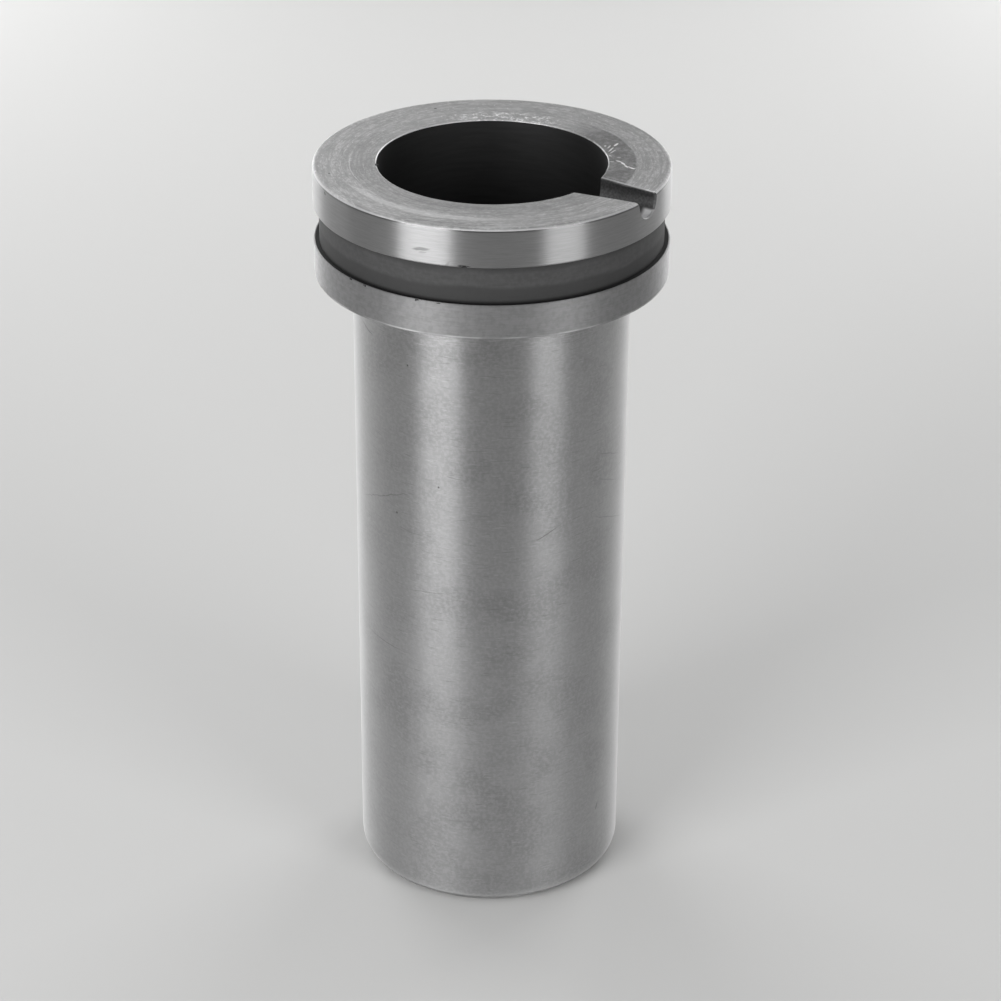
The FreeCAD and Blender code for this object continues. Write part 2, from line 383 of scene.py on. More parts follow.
def ring_quads(rows, columns):
    """Join the points of neighbouring rows, each a closed ring, with quads."""
    row, column = np.meshgrid(np.arange(rows - 1), np.arange(columns), indexing="ij")
    after = (column + 1) % columns
    corners = [
        row * columns + column,
        row * columns + after,
        (row + 1) * columns + after,
        (row + 1) * columns + column,
    ]
    return np.stack(corners, axis=-1).reshape(-1, 4)


def rounded_corner(corner, radius, start, end, steps):
    """Points of an arc that rounds a square corner.

    They lie at equal angles from start to end, one radius from a centre
    that is the corner moved back by the radius along both end directions.
    """
    angles = np.linspace(start, end, steps + 1)
    back = np.array([np.cos(start) + np.cos(end), np.sin(start) + np.sin(end)])
    centre = np.array(corner) - back * radius
    return centre + radius * np.stack([np.cos(angles), np.sin(angles)], axis=-1)


def joined_runs(runs):
    """Join runs of profile points with straight lines.

    Beside a rounded corner a line gets rows of points at fixed distances, as
    far as it is long. Beside a square inner corner it gets none.
    """
    rows = np.array(ROWS_BY_AN_EDGE) * MM
    joined = [runs[0]]
    for before, after in zip(runs, runs[1:]):
        line = after[0] - before[-1]
        length = np.linalg.norm(line)
        fitting = rows[rows < length]
        leaving = fitting if len(before) > 1 else fitting[:0]
        arriving = fitting if len(after) > 1 else fitting[:0]
        along = np.concatenate([leaving, (length - arriving)[::-1]])
        along = along[np.argsort(along)]
        joined.append(before[-1] + (along / length)[:, None] * line)
        joined.append(after)
    return np.concatenate(joined)


def crucible_profile(sizes):
    """Radius and height along the outline, between the two poles.

    It runs from the foot outwards, up the outside, round both collars, over
    the rim, down the bore and in across the floor.
    """
    body, collar, bore = sizes.body_radius, sizes.collar_radius, sizes.bore_radius
    rim = sizes.height
    groove_top = rim - sizes.upper_collar
    groove_bottom = groove_top - sizes.groove
    neck = collar - sizes.groove_depth
    underside = groove_bottom - sizes.lower_collar
    broken, rounded = sizes.edge_break, sizes.rim_round
    down, out, up, back = -math.pi / 2, 0.0, math.pi / 2, math.pi
    return joined_runs([
        rounded_corner((body, 0.0), sizes.foot_round, down, out, FOOT_STEPS),
        np.array([(body, underside)]),
        rounded_corner((collar, underside), broken, down, out, ROUND_STEPS),
        rounded_corner((collar, groove_bottom), broken, out, up, ROUND_STEPS),
        np.array([(neck, groove_bottom)]),
        np.array([(neck, groove_top)]),
        rounded_corner((collar, groove_top), broken, down, out, ROUND_STEPS),
        rounded_corner((collar, rim), rounded, out, up, RIM_STEPS),
        rounded_corner((bore, rim), broken, up, back, ROUND_STEPS),
        rounded_corner((bore, sizes.floor), sizes.floor_round, out, down, FOOT_STEPS),
    ])


def from_chip(points, chip):
    """Offsets from a chip's middle, and its directions, in its half sizes."""
    angle, radius, height, half_length, reach, depth = chip
    turn = math.radians(angle)
    outward = np.array([math.cos(turn), math.sin(turn), 0.0])
    along = np.array([-math.sin(turn), math.cos(turn), 0.0])
    axes = np.stack([along / half_length, [0.0, 0.0, 1.0 / reach], outward / depth])
    centre = outward * radius + [0.0, 0.0, height]
    return (points / MM - centre) @ axes.T, axes, outward


def chipped(points):
    """Break small scoops off the sharp edges.

    Each chip is an ellipsoid centred on an edge. A point inside it moves
    straight in from the edge, towards the axis and into the collar or wall,
    until it lies on the ellipsoid.
    """
    for chip in CHIPS:
        offset, axes, outward = from_chip(points, chip)
        inward = axes @ (-outward)
        middle = offset @ inward
        beyond = (offset * offset).sum(axis=1) - 1.0
        inside = beyond < 0.0
        size = inward @ inward
        step = (-middle + np.sqrt(np.maximum(middle ** 2 - size * beyond, 0.0))) / size
        points[inside] -= outward * (step[inside, None] * MM)
    return points


def turned_piece(name, sizes):
    """Turn the profile round the Z axis and close it with a pole at each end.

    The point at angle a of a profile point (r, z) is (r cos a, r sin a, z).
    """
    profile = crucible_profile(sizes)
    angles = np.linspace(0.0, 2 * math.pi, SEGMENTS, endpoint=False)
    around = np.stack([np.cos(angles), np.sin(angles)], axis=-1)
    points = np.empty((len(profile), SEGMENTS, 3))
    points[:, :, :2] = profile[:, None, :1] * around
    points[:, :, 2] = profile[:, 1:]
    points = chipped(points.reshape(-1, 3))
    poles = np.array([[0.0, 0.0, 0.0], [0.0, 0.0, sizes.floor]])
    foot_pole, floor_pole = len(points), len(points) + 1
    column = np.arange(SEGMENTS)
    after = (column + 1) % SEGMENTS
    last = (len(profile) - 1) * SEGMENTS
    foot = np.stack([np.full(SEGMENTS, foot_pole), after, column], axis=-1)
    floor = np.stack([last + column, last + after, np.full(SEGMENTS, floor_pole)], axis=-1)
    quads = ring_quads(len(profile), SEGMENTS)
    return new_piece(name, np.concatenate([points, poles]), [quads, foot, floor])


def notch_outline(sizes, distance, lean):
    """The notch's U at a distance from the axis, as offsets along Y and Z.

    A half circle hangs from a line that starts at the rim's height, leans
    from the vertical and is as long as the notch is deep there. Straight
    walls run up from its ends.
    """
    inwards = sizes.collar_radius - distance
    radius = sizes.notch_width / 2 + inwards * math.tan(sizes.notch_taper / 2)
    depth = sizes.notch_depth + inwards * math.tan(sizes.notch_slope)
    offset = (distance - sizes.body_radius) * math.tan(sizes.notch_skew)
    down = np.array([math.sin(lean), -math.cos(lean)])
    centre = np.array([offset, sizes.height]) + down * (depth - radius)
    angles = np.linspace(math.pi, 2 * math.pi, NOTCH_SAMPLES) + lean
    arc = centre + radius * np.stack([np.cos(angles), np.sin(angles)], axis=-1)
    rise = down * -(depth + CUTTER_OVERRUN)
    return np.concatenate([[arc[0] + rise], arc, [arc[-1] + rise]])


def depth_below(sizes, across, distance, height):
    """How deep a point lies under the top, the outer wall or the rim's rounding."""
    under_top = sizes.height - height
    under_wall = sizes.collar_radius - np.hypot(distance, across)
    up = sizes.rim_round - under_top
    out = sizes.rim_round - under_wall
    under_rounding = sizes.rim_round - np.hypot(up, out)
    return np.where((up > 0) & (out > 0), under_rounding, np.minimum(under_top, under_wall))


def notch_cutter(sizes):
    """The solid that cuts the notch.

    Its sections blend evenly from the upright U inside the bore to the
    leaning one outside. Where they come near the top or the outer wall they
    spread at 45 degrees, which bevels the edges that the cutter leaves.
    """
    near = sizes.bore_radius - CUTTER_OVERRUN
    far = sizes.collar_radius + CUTTER_OVERRUN
    end = sizes.collar_radius + CUTTER_RISE
    fine = sizes.collar_radius - MOUTH_ZONE
    throat = notch_outline(sizes, near, 0.0)
    mouth = notch_outline(sizes, far, sizes.notch_lean)
    distances = np.concatenate([
        np.linspace(near, fine, NOTCH_SECTIONS, endpoint=False),
        np.linspace(fine, end, MOUTH_SECTIONS),
    ])
    spacing = (1 - np.cos(np.linspace(0, math.pi, NOTCH_POINTS))) / 2
    lid = sizes.height + CUTTER_RISE
    points = np.empty((len(distances), NOTCH_POINTS, 3))
    for row, distance in enumerate(distances):
        outline = throat + (distance - near) / (far - near) * (mouth - throat)
        steps = np.linalg.norm(np.diff(outline, axis=0), axis=1)
        length = np.concatenate([[0.0], np.cumsum(steps)])
        low = outline[:, 1].argmin()
        left = np.interp(-lid, -outline[:low, 1], length[:low])
        right = np.interp(lid, outline[low:, 1], length[low:])
        along = left + spacing * (right - left)
        across = np.interp(along, length, outline[:, 0])
        height = np.interp(along, length, outline[:, 1])
        outwards = np.stack([np.gradient(height, along), -np.gradient(across, along)], axis=-1)
        below = depth_below(sizes, across, distance, height)
        spread = np.clip(sizes.edge_break - below, 0.0, sizes.edge_break + CUTTER_RISE)
        points[row, :, 0] = distance
        points[row, :, 1:] = np.stack([across, height], axis=-1) + outwards * spread[:, None]
    ring = np.arange(NOTCH_POINTS)
    back = ring[::-1][None]
    front = ring[None] + (len(distances) - 1) * NOTCH_POINTS
    quads = ring_quads(len(distances), NOTCH_POINTS)
    return new_piece("notch_cutter", points.reshape(-1, 3), [quads, back, front])


def cut_away(piece, cutter):
    """Take the cutter out of the piece and delete the cutter."""
    cut = piece.modifiers.new("cut", "BOOLEAN")
    cut.operation = "DIFFERENCE"
    cut.solver = "EXACT"
    cut.object = cutter
    graph = bpy.context.evaluated_depsgraph_get()
    mesh = bpy.data.meshes.new_from_object(piece.evaluated_get(graph))
    mesh.name = piece.name
    piece.modifiers.clear()
    piece.data = mesh
    bpy.data.objects.remove(cutter)


def sort_faces(piece, sizes):
    """Give each face the material slot of the operation that cut it."""
    mesh = piece.data
    count = len(mesh.polygons)
    centres = np.empty(count * 3, np.float32)
    normals = np.empty(count * 3, np.float32)
    slots = np.empty(count, np.int32)
    mesh.polygons.foreach_get("center", centres)
    mesh.polygons.foreach_get("normal", normals)
    mesh.polygons.foreach_get("material_index", slots)
    centres, normals = centres.reshape(-1, 3), normals.reshape(-1, 3)
    radius, height = np.hypot(centres[:, 0], centres[:, 1]), centres[:, 2]
    groove_top = sizes.height - sizes.upper_collar
    groove_bottom = groove_top - sizes.groove
    hair = MM / 50
    inside = (radius < sizes.bore_radius + hair) & (height > sizes.floor - hair)
    flat = np.abs(normals[:, 2]) > FLAT_ABOVE
    level = (height > groove_bottom - hair) & (height < groove_top + hair)
    between = level & (radius < sizes.collar_radius - sizes.edge_break)
    collar = radius > sizes.body_radius + hair
    low_edge = (height < groove_top + sizes.edge_break) & (
        radius > sizes.collar_radius - sizes.edge_break)
    filed = slots == FILED
    broken = np.zeros(count, bool)
    for chip in CHIPS:
        offset = from_chip(centres, chip)[0]
        broken |= (offset * offset).sum(axis=1) < 1.0 + hair / MM
    operations = [filed, broken, inside, between, low_edge, flat, collar]
    cut_slots = [FILED, BORED, BORED, GROOVED, COLLARED, FACED, COLLARED]
    slots = np.select(operations, cut_slots, TURNED).astype(np.int32)
    mesh.polygons.foreach_set("material_index", slots)
    mesh.polygons.foreach_set("use_smooth", np.ones(count, bool))
    mesh.set_sharp_from_angle(angle=SMOOTH_BELOW)


# Shader nodes

def feed(tree, node, inputs):
    """Set or link a node's inputs, given by name or number."""
    for name, value in dict(inputs).items():
        if isinstance(value, bpy.types.NodeSocket):
            tree.links.new(value, node.inputs[name])
        else:
            node.inputs[name].default_value = value


def put(tree, kind, inputs=(), **settings):
    """Add a node with its settings and inputs."""
    node = tree.nodes.new(kind)
    for name, value in settings.items():
        setattr(node, name, value)
    feed(tree, node, inputs)
    return node


def calc(tree, operation, *values):
    """Add a Math node and return its result."""
    return put(tree, "ShaderNodeMath", enumerate(values), operation=operation).outputs[0]


def product(tree, first, *others):
    """Multiply some values."""
    for other in others:
        first = calc(tree, "MULTIPLY", first, other)
    return first


def total(tree, first, *terms):
    """Add some values, each times its weight, to the first."""
    for value, weight in terms:
        first = calc(tree, "MULTIPLY_ADD", value, weight, first)
    return first


def vector_calc(tree, operation, inputs, output="Vector"):
    """Add a Vector Math node and return its vector or another output."""
    return put(tree, "ShaderNodeVectorMath", inputs, operation=operation).outputs[output]


def xyz(tree, **parts):
    """A vector with the given parts."""
    return put(tree, "ShaderNodeCombineXYZ", parts).outputs["Vector"]


def own_place(tree):
    """The place of a point in the piece's own frame, in metres."""
    return put(tree, "ShaderNodeTexCoord").outputs["Object"]


def fade(tree, value, start, end):
    """Rise smoothly from 0 to 1 while the value goes from start to end."""
    inputs = {"Value": value, "From Min": start, "From Max": end}
    node = put(tree, "ShaderNodeMapRange", inputs, interpolation_type="SMOOTHSTEP")
    return node.outputs["Result"]


def fall(tree, value, start, end):
    """Fall smoothly from 1 to 0 while the value goes from start to end."""
    return calc(tree, "SUBTRACT", 1.0, fade(tree, value, start, end))


def noise(tree, vector, scale, detail, rough=0.5):
    """Add a Noise Texture and return its value."""
    inputs = {"Vector": vector, "Scale": scale, "Detail": detail, "Roughness": rough}
    return put(tree, "ShaderNodeTexNoise", inputs).outputs["Fac"]


def new_group(name, inputs, outputs):
    """Start a node group with the labelled sockets.

    Around is a vector and the others are floats. Returns the tree, its
    inputs by label and a function that links values to its outputs by label.
    """
    tree = bpy.data.node_groups.new(name, "ShaderNodeTree")
    for direction, labels in (("INPUT", inputs), ("OUTPUT", outputs)):
        for label in labels:
            kind = "NodeSocketVector" if label == "Around" else "NodeSocketFloat"
            tree.interface.new_socket(label, in_out=direction, socket_type=kind)
    source = tree.nodes.new("NodeGroupInput")
    result = tree.nodes.new("NodeGroupOutput")

    def finish(**values):
        for label, value in values.items():
            tree.links.new(value, result.inputs[label])
        return tree

    return tree, source.outputs, finish


def lathe_position_group():
    """Where a point lies on the lathe, in millimetres and degrees.

    Along grows by a millimetre for each millimetre along the profile, up a
    wall or out across a face. Around is the direction from the axis.
    """
    outputs = ("Around", "Along", "Radius", "Height", "Angle")
    tree, _, finish = new_group("Lathe position", (), outputs)
    place = own_place(tree)
    flat = vector_calc(tree, "MULTIPLY", {0: place, 1: (1.0 / MM, 1.0 / MM, 0.0)})
    parts = put(tree, "ShaderNodeSeparateXYZ", {"Vector": place}).outputs
    length = vector_calc(tree, "LENGTH", {0: flat}, "Value")
    height = product(tree, parts["Z"], 1.0 / MM)
    return finish(
        Around=vector_calc(tree, "NORMALIZE", {0: flat}),
        Along=calc(tree, "ADD", height, length),
        Radius=length,
        Height=height,
        Angle=calc(tree, "DEGREES", calc(tree, "ARCTAN2", parts["Y"], parts["X"])),
    )


def turning_lines_group():
    """Fine lines that a tool leaves round the axis, from 0 to 1.

    Noise is stretched round the axis: Fineness is lines per millimetre
    along the profile and Streaks sets how soon a line fades round it.
    """
    inputs = ("Around", "Along", "Fineness", "Streaks")
    tree, given, finish = new_group("Turning lines", inputs, ("Lines",))
    sweep = vector_calc(tree, "SCALE", {0: given["Around"], "Scale": given["Streaks"]})
    climb = xyz(tree, Z=product(tree, given["Along"], given["Fineness"]))
    place = vector_calc(tree, "ADD", {0: sweep, 1: climb})
    return finish(Lines=noise(tree, place, *LINE_NOISE))


def turned_by(tree, across, up, angle):
    """Two offsets turned by an angle (radians): along it, then square to it."""
    sine, cosine = calc(tree, "SINE", angle), calc(tree, "COSINE", angle)
    along = calc(tree, "ADD", product(tree, across, cosine), product(tree, up, sine))
    square = calc(tree, "SUBTRACT", product(tree, up, cosine), product(tree, across, sine))
    return along, square


def scratches_group():
    """Thin scratches that cross the turning at a tilt, from 0 to 1.

    The surface is unrolled to millimetres round and along it. Noise that is
    stretched along the tilt passes a high threshold only in thin streaks.
    """
    inputs = ("Radius", "Angle", "Along", "Tilt", "Length", "Width", "Rarity")
    tree, given, finish = new_group("Scratches", inputs, ("Mask",))
    round_it = product(tree, calc(tree, "RADIANS", given["Angle"]), given["Radius"])
    turn = calc(tree, "RADIANS", given["Tilt"])
    lengthwise, crosswise = turned_by(tree, round_it, given["Along"], turn)
    place = xyz(
        tree,
        X=calc(tree, "DIVIDE", lengthwise, given["Length"]),
        Y=calc(tree, "DIVIDE", crosswise, given["Width"]),
        Z=given["Tilt"],
    )
    full = calc(tree, "ADD", given["Rarity"], SCRATCH_SOFTNESS)
    return finish(Mask=fade(tree, noise(tree, place, *SCRATCH_NOISE), given["Rarity"], full))


def streak_group():
    """One mark that runs from a middle both ways along a tilt, from 0 to 1.

    The surface is unrolled to millimetres round and along it, and the mark
    is an ellipse that fades towards its outline. Waver bends it at random.
    """
    inputs = ("Angle", "Along", "Radius", "At angle", "At along", "Tilt",
              "Half length", "Half width", "Waver")
    tree, given, finish = new_group("Streak", inputs, ("Mask",))
    turn = calc(tree, "RADIANS", calc(tree, "SUBTRACT", given["Angle"], given["At angle"]))
    run = product(tree, turn, given["Radius"])
    bend = calc(tree, "SUBTRACT", noise(tree, own_place(tree), *WAVER_NOISE), 0.5)
    climb = calc(tree, "SUBTRACT", given["Along"], given["At along"])
    climb = total(tree, climb, (bend, given["Waver"]))
    lengthwise, crosswise = turned_by(tree, run, climb, given["Tilt"])
    place = xyz(
        tree,
        X=calc(tree, "DIVIDE", lengthwise, given["Half length"]),
        Y=calc(tree, "DIVIDE", crosswise, given["Half width"]),
    )
    return finish(Mask=fall(tree, vector_calc(tree, "LENGTH", {0: place}, "Value"), *MARK_FADE))


def groups():
    """Make the node groups once."""
    return {
        "position": lathe_position_group(),
        "lines": turning_lines_group(),
        "scratches": scratches_group(),
        "streak": streak_group(),
    }


def use_group(tree, group, inputs=()):
    """Place a node group and return its outputs."""
    return put(tree, "ShaderNodeGroup", inputs, node_tree=group).outputs


# Colours

def blend(tree, share, first, second):
    """Mix two colours by a share."""
    colours = {"Factor": share, 6: first, 7: second}
    return put(tree, "ShaderNodeMix", colours, data_type="RGBA").outputs[2]


def shade(colour, factor):
    """A colour made darker or lighter by a factor."""
    return (*[channel * factor for channel in colour[:3]], 1.0)


def two_shades(tree, value, span, colour, factors):
    """Go from one shade of a colour to another while the value crosses a span."""
    return blend(tree, fade(tree, value, *span), *[shade(colour, factor) for factor in factors])


def layered(tree, tone, colour, *layers):
    """Lay shades of a colour over a tone.

    Each layer is a mask, its strength and the shade's factor.
    """
    for mask, strength, factor in layers:
        tone = blend(tree, product(tree, mask, strength), tone, shade(colour, factor))
    return tone


# Masks

def turning_lines(tree, made, where, fineness, streaks):
    """Turning lines of one fineness."""
    return use_group(tree, made["lines"], {
        "Around": where["Around"], "Along": where["Along"],
        "Fineness": fineness, "Streaks": streaks})["Lines"]


def strongest(tree, masks):
    """The largest of some masks at each place."""
    first, *others = masks
    for mask in others:
        first = calc(tree, "MAXIMUM", first, mask)
    return first


def drawn_marks(tree, made, where, table, radius):
    """The strongest of a table's marks at each place."""
    masks = []
    for angle, along, end_angle, end_along, half_width, waver, strength in table:
        run = math.radians(end_angle - angle) * radius
        climb = end_along - along
        mask = use_group(tree, made["streak"], {
            "Angle": where["Angle"], "Along": where["Along"], "Radius": where["Radius"],
            "At angle": (angle + end_angle) / 2, "At along": (along + end_along) / 2,
            "Tilt": math.atan2(climb, run), "Half length": math.hypot(run, climb) / 2,
            "Half width": half_width, "Waver": waver})["Mask"]
        masks.append(product(tree, mask, strength))
    return strongest(tree, masks)


def fine_scratches(tree, made, where, tilts, length, width, rarity):
    """The strongest of some families of scratches, each with its own tilt."""
    return strongest(tree, [
        use_group(tree, made["scratches"], {
            "Radius": where["Radius"], "Angle": where["Angle"], "Along": where["Along"],
            "Tilt": tilt, "Length": length, "Width": width, "Rarity": rarity})["Mask"]
        for tilt in tilts])


# Materials

def new_material(name):
    """A material with a Principled BSDF, with its tree and shader."""
    material = bpy.data.materials.new(name)
    material.use_nodes = True
    tree = material.node_tree
    return material, tree, tree.nodes["Principled BSDF"]


def new_graphite(name, made):
    """A new material, and where its points lie on the lathe and in the piece."""
    material, tree, shader = new_material(name)
    return material, tree, shader, use_group(tree, made["position"]), own_place(tree)


def round_the_axis(tree):
    """Inputs that stretch the highlights along the profile, as fine turning does."""
    tangent = put(tree, "ShaderNodeTangent", direction_type="RADIAL", axis="Z")
    return {"Anisotropic Rotation": QUARTER_TURN, "Tangent": tangent.outputs["Tangent"]}


def raised(tree, height, strength, depth):
    """The normal of a surface with fine relief, whose depth is in millimetres."""
    inputs = {"Strength": strength, "Distance": depth * MM, "Height": height}
    return put(tree, "ShaderNodeBump", inputs).outputs["Normal"]


def turned_material(made, colour):
    """The body: fine lines round it, scratches, specks and a satin sheen."""
    material, tree, shader, where, place = new_graphite("turned_graphite", made)
    fine = turning_lines(tree, made, where, *BODY_LINES)
    clouds = noise(tree, place, *BODY_CLOUDS)
    grain = noise(tree, place, *BODY_GRAIN)
    foot = fall(tree, where["Height"], *FOOT_DULLING)
    scratches = fine_scratches(tree, made, where, *BODY_SCRATCHES)
    under_collar = fade(tree, where["Height"], *UNDER_THE_COLLAR)
    tone = layered(
        tree, two_shades(tree, fine, LINE_SPAN, colour, (0.96, 1.04)), colour,
        (fade(tree, clouds, *CLOUD_SPAN), 0.5, 0.7),
        (fade(tree, grain, *GRAIN_SPAN), 0.5, 1.25),
        (fine_scratches(tree, made, where, *BODY_RUBS), 0.4, 1.6),
        (product(tree, under_collar, fade(tree, fine, *RIDGE_SPAN)), 0.6, 1.7),
        (scratches, 0.32, 0.4),
        (drawn_marks(tree, made, where, BODY_MARKS, BODY_MARKS_AT), 1.0, 0.12),
    )
    relief = total(tree, fine, (grain, 0.4), (scratches, -0.6))
    feed(tree, shader, {
        "Base Color": tone,
        "Roughness": total(tree, 0.31, (clouds, 0.08), (foot, 0.32), (scratches, 0.1)),
        "Metallic": total(tree, 1.0, (foot, -0.4)),
        "Normal": raised(tree, relief, 0.18, 0.02),
        "Anisotropic": 0.85,
        "Sheen Weight": 0.8,
        "Sheen Roughness": 0.5,
        **round_the_axis(tree),
    })
    return material


def collared_material(made, colour):
    """The collars' walls: finely turned, the upper one brighter polished, with a painted highlight
    along the lower collar's underside edge and painted shade under the rim.
    """
    material, tree, shader, where, place = new_graphite("collared_graphite", made)
    height = where["Height"]
    fine = turning_lines(tree, made, where, *COLLAR_LINES)
    clouds = noise(tree, place, *COLLAR_CLOUDS)
    mottle = fade(tree, noise(tree, place, *COLLAR_MOTTLE), *GRAIN_SPAN)
    lower = fall(tree, height, *LOWER_COLLAR_END)
    scratches = fine_scratches(tree, made, where, *COLLAR_SCRATCHES)
    # Painted highlight: a light band, broken up by clouds, along the lower collar's underside edge.
    low_edge = product(
        tree, fade(tree, height, *UNDERSIDE_HIGHLIGHT_BELOW), fall(tree, height, *UNDERSIDE_HIGHLIGHT_ABOVE),
        fade(tree, clouds, *EDGE_SPAN))
    tone = layered(
        tree, two_shades(tree, fine, LINE_SPAN, colour, (0.93, 1.06)), colour,
        (product(tree, lower, mottle), 0.4, 0.7),
        (scratches, 0.3, 0.5),
        (low_edge, 0.7, 2.0),
        # Painted shade on the rim's rounding.
        (fade(tree, height, *RIM_EDGE_SHADE), 0.6, 0.5),
        (drawn_marks(tree, made, where, COLLAR_MARKS, COLLAR_MARKS_AT), 1.0, 0.15),
    )
    feed(tree, shader, {
        "Base Color": tone,
        "Roughness": total(tree, 0.31, (clouds, 0.06), (lower, 0.33)),
        "Metallic": total(tree, 1.0, (lower, -0.35)),
        "Normal": raised(tree, total(tree, fine, (scratches, -1.0)), 0.15, 0.02),
        "Anisotropic": 0.95,
        **round_the_axis(tree),
    })
    return material


def faced_material(made, colour):
    """The flat faces: faint rings, blotches, scuffs and scratches, with painted highlights along the
    outer edge and the bore's edge.
    """
    material, tree, shader, where, place = new_graphite("faced_graphite", made)
    radius, angle = where["Radius"], where["Angle"]
    rings = turning_lines(tree, made, where, *FACE_RINGS)
    strokes = turning_lines(tree, made, where, *FACE_STROKES)
    blotches = noise(tree, place, *FACE_BLOTCHES)
    smears = noise(tree, place, *FACE_SMEARS)
    ragged = total(tree, radius, (blotches, 0.6))
    near = fall(tree, angle, *WORN_END)
    beside = product(tree, near, fade(tree, angle, *WORN_START))
    wear = total(tree, product(tree, near, 0.25), (beside, 0.75))
    worn = product(tree, fall(tree, ragged, *WORN_RADIUS), wear)
    scuffs = product(
        tree, fade(tree, angle, *SCUFFED_START), fall(tree, angle, *SCUFFED_END),
        fall(tree, ragged, *SCUFFED_RADIUS),
        fade(tree, strokes, *SCUFF_STROKE_SPAN), fade(tree, smears, *SCUFF_SMEAR_SPAN))
    tone = layered(
        tree, two_shades(tree, blotches, BLOTCH_SPAN, colour, (0.82, 1.04)), colour,
        (fade(tree, strokes, *STROKE_SPAN), 0.5, 1.45),
        (fade(tree, rings, *RING_SPAN), 0.5, 0.68),
        (fine_scratches(tree, made, where, *FACE_SCRATCHES), 0.4, 1.7),
        # Painted highlight along the outer edge's rounding.
        (fade(tree, radius, *FACE_OUTER_EDGE_HIGHLIGHT), 0.6, 1.25),
        # Painted highlight along the bore's edge.
        (fall(tree, radius, *FACE_BORE_EDGE_HIGHLIGHT), 0.7, 1.5),
    )
    dull = two_shades(tree, smears, GRAIN_SPAN, colour, (0.38, 0.66))
    tone = layered(
        tree, blend(tree, product(tree, worn, 0.9), tone, dull), colour,
        (scuffs, 0.8, 2.2),
        (drawn_marks(tree, made, where, FACE_MARKS, FACE_MARKS_AT), 1.0, 0.1),
        (drawn_marks(tree, made, where, FACE_SHINE, FACE_MARKS_AT), 1.0, 2.0),
    )
    outside = fade(tree, radius, *FACE_OUTER_DULLING)
    feed(tree, shader, {
        "Base Color": tone,
        "Roughness": total(tree, 0.42, (blotches, 0.12), (outside, 0.2)),
        "Metallic": 1.0,
        "Normal": raised(tree, total(tree, rings, (strokes, 0.5)), 0.25, 0.02),
    })
    return material


def grooved_material(made, colour):
    """The groove: matt, with painted shade high up and low down and black painted shade in its
    corner.
    """
    material, tree, shader, where, place = new_graphite("grooved_graphite", made)
    fine = turning_lines(tree, made, where, *GROOVE_LINES)
    grain = noise(tree, place, *GROOVE_GRAIN)
    wavy = total(tree, where["Height"], (noise(tree, place, *GROOVE_CLOUDS), 1.2))
    tone = layered(
        tree, two_shades(tree, fine, LINE_SPAN, colour, (0.92, 1.06)), colour,
        (fade(tree, grain, *GRAIN_SPAN), 0.45, 1.35),
        # Painted shade in the groove: low down, high up and black in its corner.
        (fall(tree, wavy, *GROOVE_LOW_SHADE), 0.8, 0.6),
        (fade(tree, wavy, *GROOVE_HIGH_SHADE), 0.7, 0.6),
        (fall(tree, where["Height"], *GROOVE_CORNER_SHADE), 0.9, 0.1),
    )
    feed(tree, shader, {
        "Base Color": tone,
        "Roughness": 0.7,
        "Metallic": 0.4,
        "Normal": raised(tree, total(tree, fine, (grain, 1.0)), 0.2, 0.02),
    })
    return material


def bored_material(made, colour):
    """The inside: dark, dull and evenly lined."""
    material, tree, shader, where, _ = new_graphite("bored_graphite", made)
    rings = turning_lines(tree, made, where, *BORE_LINES)
    feed(tree, shader, {
        "Base Color": two_shades(tree, rings, LINE_SPAN, colour, (0.9, 1.1)),
        "Roughness": total(tree, 0.55, (rings, 0.1)),
        "Metallic": 0.8,
    })
    return material


def filed_material(made, colour):
    """The notch: a rougher, mottled cut with a painted highlight on its lip."""
    material, tree, shader, where, place = new_graphite("filed_graphite", made)
    radius = where["Radius"]
    grain = noise(tree, place, *NOTCH_GRAIN)
    # The lip's painted highlight lies under a sloping plane; low is the part under it.
    down = (0.0, -LIP_HIGHLIGHT_SLOPE / MM, -1.0 / MM)
    depth = vector_calc(tree, "DOT_PRODUCT", {0: place, 1: down}, "Value")
    low = fade(tree, depth, *[level - RIM_HEIGHT for level in LIP_HIGHLIGHT_DEPTH])
    tone = layered(
        tree, two_shades(tree, grain, BLOTCH_SPAN, colour, (0.8, 1.2)), colour,
        # Painted highlight on the lip, toned down near its outer edge.
        (product(tree, low, fade(tree, radius, *LIP_HIGHLIGHT_RADIUS)), 1.0, 8.0),
        (product(tree, low, fade(tree, radius, *LIP_HIGHLIGHT_EDGE_RADIUS)), 0.7, 2.0),
        (fade(tree, where["Height"], *NOTCH_TOP_EDGE), 1.0, 4.5),
    )
    feed(tree, shader, {
        "Base Color": tone,
        "Roughness": total(tree, 0.4, (grain, 0.2)),
        "Metallic": 0.9,
        "Normal": raised(tree, grain, 0.2, 0.03),
    })
    return material


# The studio

